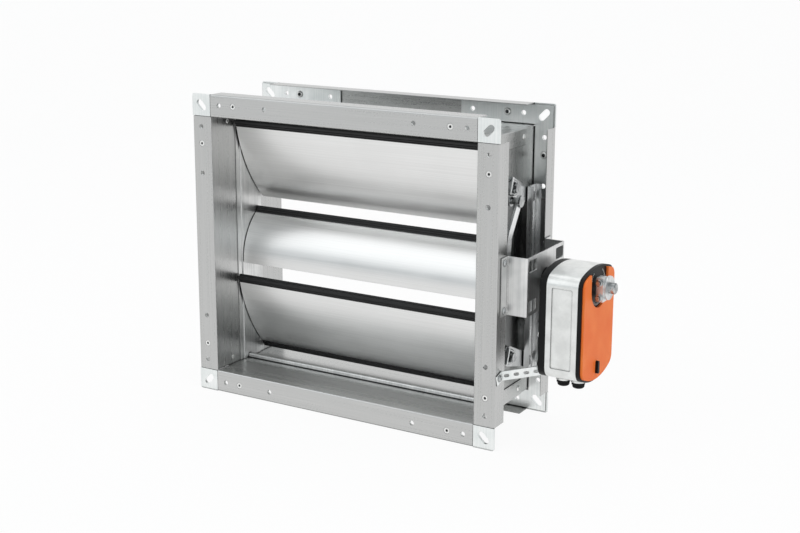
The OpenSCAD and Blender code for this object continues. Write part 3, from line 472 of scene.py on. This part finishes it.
def repeated(name, mesh, points, finish):
    """One plain mesh of copies; points are (place, outward way, turn about it, stretch)."""
    cloud = bpy.data.meshes.new(name)
    cloud.from_pydata([place for place, way, turn, stretch in points], [], [])
    columns = {"outward": [way for place, way, turn, stretch in points],
               "spin": [(0, 0, turn) for place, way, turn, stretch in points],
               "stretch": [stretch for place, way, turn, stretch in points]}
    for title, rows in columns.items():
        column = cloud.attributes.new(title, "FLOAT_VECTOR", "POINT")
        column.data.foreach_set("vector", [c for row in rows for c in row])
    obj = new_object(name, cloud)
    pattern = new_object(name + "_pattern", mesh)
    modifier = obj.modifiers.new("repeat", "NODES")
    modifier.node_group = on_each_point
    given = {"shape": pattern, "finish": finish}
    for socket in on_each_point.interface.items_tree:
        if socket.name in given:
            modifier[socket.identifier] = given[socket.name]
    plain = applied(obj)
    obj.modifiers.clear()
    obj.data = plain
    plain.name = name
    bpy.data.objects.remove(pattern)
    return obj


def carried_by(piece, node):
    """The piece moves with a CAD node's body."""
    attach(piece, nodes[node]["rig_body"])


def stand_for(piece, node):
    """The piece takes a CAD node's place in the picture, and its body."""
    carried_by(piece, node)
    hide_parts(node)


chance = random.Random(11)
PLAIN = (1, 1, 1)


def any_turn():
    """A fastener stops at any turn about its axis."""
    return chance.uniform(0, 2 * math.pi)


# Blind rivets of the corner plates: a flat flange, a hollow head, and the pin's broken end and its head
FLANGE_RIVET = [(0, -5.7), (2.2, -5.7), (3.2, -5.5), (3.9, -5.0), (4.1, -4.5), (3.9, -4.0),
                (3.3, -3.75), (2.4, -3.7), (2.4, -0.6), (3.95, -0.6), (3.95, -0.35), (3.75, -0.1),
                (3.3, 0.0), (2.3, 0.0), (1.9, -0.15), (1.7, -0.45), (1.65, -1.7), (0, -1.75)]
PIN_END = [(0, -1.7), (1.6, -1.7), (1.6, -0.75), (1.3, -0.6), (0.8, -0.7), (0.5, -0.5), (0, -0.55)]
PIN_HEAD = [(0, -7.1), (1.2, -6.95), (2.1, -6.5), (2.5, -5.9), (2.3, -5.5), (0, -5.4)]
rivet = turned("flange_rivet_pattern", FLANGE_RIVET, 28)
pin_points = []
for side, way, level in (("front", -1, 0.0), ("back", 1, CASE_D)):
    node = side + "_rivets"
    points = [((m.x, level * MM, m.z), (0, way, 0), any_turn(), PLAIN) for m in solids_of(node)]
    stand_for(repeated(side + "_blind_rivets", rivet, points, rivet_steel), node)
    pin_points += points
for name, profile in (("rivet_pin_ends", PIN_END), ("rivet_pin_heads", PIN_HEAD)):
    pins = repeated(name, turned(name + "_pattern", profile, 18), pin_points, pin_steel)
    carried_by(pins, "front_rivets")

# Rivets through the turned edges: a domed head outside and a closed head inside
SEAM_RIVET = [(0, -3.1), (1.4, -3.08), (2.6, -2.9), (3.1, -2.65), (3.2, -2.4), (2.0, -2.4), (2.0, 0.0),
              (3.6, 0.0), (3.6, 0.2), (3.3, 0.6), (2.5, 1.0), (1.9, 1.18), (1.5, 1.15), (1.3, 0.9),
              (1.2, 0.1), (0.8, 0.05), (0, 0.1)]
seam_face = (WALL_X + SEAM_EDGE) * MM
points = [((math.copysign(seam_face, m.x), m.y, m.z), (math.copysign(1, m.x), 0, 0), any_turn(), PLAIN)
          for m in solids_of("seam_rivets")]
seam_rivet = turned("seam_rivet_pattern", SEAM_RIVET, 28)
stand_for(repeated("seam_blind_rivets", seam_rivet, points, rivet_steel), "seam_rivets")

# Screws of the bracket and the strap
PAN_SCREW = [(0, -SHANK), (1.2, -SHANK), (1.9, -6.2), (2.0, -5.8), (2.0, 0), (4.0, 0), (4.0, 0.8),
             (3.85, 1.4), (3.4, 1.95), (2.6, 2.28), (1.4, 2.39), (0, HEAD)]
RECESS_ARM = (4.6, 1.0, 2.6)
RECESS_RISE = 2.2
RECESS_FLOOR = 0.45


def pan_screw():
    """A pan-head screw with a cross recess, narrower at its floor, cut into its head."""
    cross = bmesh.new()
    for turn in (0, math.pi / 2):
        for corner in block(cross, RECESS_ARM, RECESS_RISE, turn):
            if corner.co.z < RECESS_RISE * MM:
                corner.co.x *= RECESS_FLOOR
                corner.co.y *= RECESS_FLOOR
    tool = new_object("cross_recess", closed_mesh("cross_recess", cross))
    body = new_object("screw_body", turned("screw_body", PAN_SCREW, 36))
    cut = body.modifiers.new("cut", "BOOLEAN")
    cut.operation = "DIFFERENCE"
    cut.object = tool
    cut.use_self = True
    shape = bmesh.new()
    shape.from_mesh(applied(body))
    bpy.data.objects.remove(body)
    bpy.data.objects.remove(tool)
    return closed_mesh("pan_screw_pattern", shape)


screw = pan_screw()
head_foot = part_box("bracket_screws")[1].x - HEAD * MM
points = [((head_foot, m.y, m.z), (1, 0, 0), any_turn(), PLAIN) for m in solids_of("bracket_screws")]
stand_for(repeated("bracket_pan_screws", screw, points, bright_steel), "bracket_screws")
foot_from_middle = (SHANK + HEAD) / 2 * MM - HEAD * MM
points = [((m.x + way * foot_from_middle, m.y, m.z), (way, 0, 0), any_turn(), PLAIN)
          for m, way in zip(solids_of("strap_screws"), (1, -1))]
stand_for(repeated("strap_pan_screws", screw, points, bright_steel), "strap_screws")

# Nuts of the shaft clamp
NUT_FLAT, NUT_THICK, NUT_BORE = 4.0, 4.0, 2.5
NUT_FACE = 0.97 * NUT_FLAT
BORE_EDGE = 0.5


def chamfered_nut():
    """A hexagon nut whose corners are cut back by the usual 30 degree chamfer on both faces."""
    corner = hexagon(NUT_FLAT)
    slope = math.tan(math.radians(30))
    mouth = NUT_BORE + BORE_EDGE
    return turned("clamp_nut_pattern", [
        (mouth, 0), (NUT_FACE, 0), (corner, lambda angle: (corner(angle) - NUT_FACE) * slope),
        (corner, lambda angle: NUT_THICK - (corner(angle) - NUT_FACE) * slope), (NUT_FACE, NUT_THICK),
        (mouth, NUT_THICK), (NUT_BORE, NUT_THICK - BORE_EDGE), (NUT_BORE, BORE_EDGE)], 72, True)


nut_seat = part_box("clamp_nuts")[1].y
points = [((m.x, nut_seat, m.z), (0, -1, 0), any_turn(), PLAIN) for m in solids_of("clamp_nuts")]
stand_for(repeated("clamp_hexagon_nuts", chamfered_nut(), points, bright_steel), "clamp_nuts")

# Cord glands
GLAND_BORE = 3.8
GLAND_TURN = 0.3


def cord_gland():
    """Cord gland from its lock nut inside the housing down to the ribbed dome nut outside."""
    wide = hexagon(8.1)
    lock = hexagon(6.9)

    def ribbed(angle):
        return 7.35 + 0.25 * max(-0.6, math.cos(18 * angle))

    return turned("gland_pattern", [
        (GLAND_BORE, 9.6), (6.0, 9.6), (6.0, 9.4), (lock, 9.3), (lock, 6.7), (6.0, 6.6), (6.0, 0.0),
        (7.9, 0.0), (wide, -0.4), (wide, -3.1), (7.9, -3.5), (7.1, -3.5), (7.1, -3.9), (ribbed, -4.1),
        (ribbed, -6.4), (7.0, -7.2), (6.3, -7.75), (5.4, -GLAND_DROP), (4.9, -7.9), (4.7, -7.4),
        (4.6, -6.2), (GLAND_BORE, -6.0)], 144, True)


housing_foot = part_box("cable_glands")[0].z + GLAND_DROP * MM
points = [((m.x, m.y, housing_foot), (0, 0, 1), GLAND_TURN, PLAIN) for m in solids_of("cable_glands")]
stand_for(repeated("ribbed_cord_glands", cord_gland(), points, black_nylon), "cable_glands")

# Seals of the blades
GROOVES = (1.4, 4.3)
GROOVE_DEPTH = 0.7
LIP_STEPS = 12


def seal_outline(half):
    """Edge view of a blade seal: a grooved foot on the blade and two round lips at its edge."""
    side = SEAL_T / 2
    lip = SEAL_T / 4
    foot = half - SEAL_OUT
    right = [(side, foot)]
    for groove in GROOVES:
        right += [(side, foot + groove), (side - GROOVE_DEPTH, foot + groove + 0.4),
                  (side - GROOVE_DEPTH, foot + groove + 1.1), (side, foot + groove + 1.5)]
    for i in range(LIP_STEPS):
        angle = math.pi * i / LIP_STEPS
        right.append((lip + lip * math.cos(angle), half - lip + lip * math.sin(angle)))
    # the lips part just above their centres
    right.append((0.05, half - lip + 0.1))
    return right + [(-u, v) for u, v in reversed(right)]


def blade_seal(shape, level, lean, half, flip):
    """Draws one seal along a blade that leans about its axle; flip is -1 at the blade's lower edge."""
    c = math.cos(math.radians(lean))
    s = math.sin(math.radians(lean))
    ends = []
    for x in (-BLADE_HALF, BLADE_HALF):
        ends.append([shape.verts.new((x * MM, (AXLE_Y + flip * (u * c - v * s)) * MM,
                                      (level + flip * (u * s + v * c)) * MM))
                     for u, v in seal_outline(half)])
    count = len(ends[0])
    shape.faces.new(ends[0])
    shape.faces.new(ends[1])
    for i in range(count):
        j = (i + 1) % count
        shape.faces.new([ends[0][i], ends[0][j], ends[1][j], ends[1][i]])


for node, level, lean, half, flips in (
        ("top_blade_seal", BLADE_PITCH, REST_OPEN, OUTER_HALF, (1,)),
        ("middle_blade_seal", 0.0, -REST_OPEN, MIDDLE_HALF, (1,)),
        ("bottom_blade_seals", -BLADE_PITCH, REST_OPEN, OUTER_HALF, (1, -1))):
    shape = bmesh.new()
    for flip in flips:
        blade_seal(shape, level, lean, half, flip)
    seal = new_object("lipped_" + node, closed_mesh("lipped_" + node, shape, 30.0))
    seal.data.materials.append(seal_rubber)
    stand_for(seal, node)

# Position scale round the shaft clamp, open at its top
MARK_STEPS = 24
MARK_ANGLE = 6
LONG_EVERY = 5
LONG_RADIUS = 22.0
SHORT_RADIUS = 22.6
MARK_SIZE = (0.7, 2.4, 0.5)
MARK_RISE = 0.15


def scale_mark():
    """One raised mark of the position scale, with its upper edges broken."""
    shape = bmesh.new()
    for corner in block(shape, MARK_SIZE, MARK_RISE):
        if corner.co.z > MARK_RISE * MM:
            corner.co.x *= 0.8
            corner.co.y *= 0.9
    return closed_mesh("scale_mark_pattern", shape)


marks = []
for step in range(-MARK_STEPS, MARK_STEPS + 1):
    angle = math.radians(MARK_ANGLE * step - 90)
    is_long = step % LONG_EVERY == 0
    radius = LONG_RADIUS if is_long else SHORT_RADIUS
    place = (COVER_X * MM, (AXLE_Y + radius * math.cos(angle)) * MM, radius * math.sin(angle) * MM)
    marks.append((place, (1, 0, 0), angle, (1, 1.5 if is_long else 1.0, 1)))
scale = repeated("position_scale", scale_mark(), marks, white_print)
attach(scale, nodes["front_plate"]["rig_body"])

# The room: a pale sheet under and behind the damper, large soft lamps and a plain world
floor_z = cad_box[0][2]
YAW = math.radians(30.54)
SHEET_DEEP = 3.2
SHEET_HIGH = 3.2
SHEET_HALF = 16.0
SHEET_CURVE = 0.9
CURVE_STEPS = 12
GLOW_SHARE = 0.93


def white_paper():
    """Matt white paper that shows as plain white, also in the metal, and keeps a soft contact shadow."""
    material = bpy.data.materials.new("matt_white_paper")
    material.use_nodes = True
    tree = material.node_tree
    tree.nodes.clear()
    paper = add(tree, "ShaderNodeBsdfDiffuse", {"Color": linear("f2f2f2")}).outputs[0]
    glow = add(tree, "ShaderNodeEmission", {"Color": (1, 1, 1, 1), "Strength": 1.0}).outputs[0]
    ray = add(tree, "ShaderNodeLightPath")
    seen = ray.outputs["Is Camera Ray"]
    for kind in ("Is Glossy Ray", "Is Transmission Ray"):
        seen = add(tree, "ShaderNodeMath", {0: seen, 1: ray.outputs[kind]},
                   operation="MAXIMUM").outputs[0]
    # the rest of what is seen is lit by the lamps, so the object's shadow stays on the paper
    share = add(tree, "ShaderNodeMath", {0: seen, 1: GLOW_SHARE}, operation="MULTIPLY").outputs[0]
    both = add(tree, "ShaderNodeMixShader", {0: share, 1: paper, 2: glow}).outputs[0]
    add(tree, "ShaderNodeOutputMaterial", {"Surface": both})
    return material


def stage_floor():
    """A wide white paper sheet that the object stands on and that runs up behind it."""
    bend = SHEET_DEEP - SHEET_CURVE
    outline = [(-SHEET_HALF, 0.0), (bend, 0.0)]
    for i in range(1, CURVE_STEPS + 1):
        a = math.pi / 2 * i / CURVE_STEPS
        outline.append((bend + SHEET_CURVE * math.sin(a), SHEET_CURVE - SHEET_CURVE * math.cos(a)))
    outline.append((SHEET_DEEP, SHEET_HIGH))
    across = Vector((math.cos(YAW), math.sin(YAW), 0))
    away = Vector((-math.sin(YAW), math.cos(YAW), 0))
    verts = [side * across + depth * away + Vector((0, 0, height + floor_z))
             for depth, height in outline for side in (-SHEET_HALF, SHEET_HALF)]
    faces = [(2 * i, 2 * i + 1, 2 * i + 3, 2 * i + 2) for i in range(len(outline) - 1)]
    mesh = bpy.data.meshes.new("paper_sheet")
    mesh.from_pydata(verts, [], faces)
    for face in mesh.polygons:
        face.use_smooth = True
    mesh.materials.append(white_paper())
    new_object("paper_sheet", mesh)


def soft_lamp(name, place, target, size, power):
    """A large soft lamp, its place, target and size in metres, its power in watts."""
    data = bpy.data.lights.new(name, "AREA")
    data.shape = "RECTANGLE"
    data.size, data.size_y = size
    data.energy = power
    lamp = new_object(name, data)
    lamp.location = place
    lamp.rotation_euler = (Vector(target) - Vector(place)).to_track_quat("-Z", "Y").to_euler()


def studio_air():
    """A plain pale room, a little greyer towards the floor."""
    world = bpy.data.worlds.new("studio_air")
    bpy.context.scene.world = world
    world.use_nodes = True
    tree = world.node_tree
    tree.nodes.clear()
    way = add(tree, "ShaderNodeTexCoord").outputs["Generated"]
    split = add(tree, "ShaderNodeSeparateXYZ", {0: way})
    shade = two_tone(tree, split.outputs[2], -0.1, 0.9, "c3ccd1", "eff2f4")
    room = add(tree, "ShaderNodeBackground", {"Color": shade, "Strength": 0.8})
    add(tree, "ShaderNodeOutputWorld", {"Surface": room.outputs[0]})


# The camera's place and angles come from a fit to the damper's corners in the photograph
PHOTO_WIDTH = 800
FOCAL_PIXELS = 1362.0
SENSOR = 36.0
EYE = (0.934, -1.424, 0.440)
PITCH = math.radians(12.86)
ROLL = math.radians(0.19)
SHIFT = -0.05


def photo_camera():
    """Stands to the right of the damper's front and a little above it, as the photograph does."""
    data = bpy.data.cameras.new("photo_camera")
    data.sensor_width = SENSOR
    data.lens = FOCAL_PIXELS / PHOTO_WIDTH * SENSOR
    data.shift_y = SHIFT
    data.clip_end = 50.0
    camera = new_object("photo_camera", data)
    ahead = Vector((-math.sin(YAW) * math.cos(PITCH), math.cos(YAW) * math.cos(PITCH), -math.sin(PITCH)))
    turn = ahead.to_track_quat("-Z", "Y").to_matrix().to_4x4() @ Matrix.Rotation(ROLL, 4, "Z")
    camera.matrix_world = Matrix.Translation(EYE) @ turn
    bpy.context.scene.camera = camera


stage_floor()
studio_air()
soft_lamp("key_softbox", (-1.9, -2.2, 2.0), (0, 0.05, 0), (3.4, 2.8), 25)
soft_lamp("fill_softbox", (2.6, -1.7, 1.0), (0.1, 0.1, 0), (2.3, 2.0), 15)
soft_lamp("top_softbox", (0.1, 0.3, 2.5), (0, 0.05, 0), (2.4, 2.0), 14)
photo_camera()

bpy.context.scene.view_settings.view_transform = "Standard"
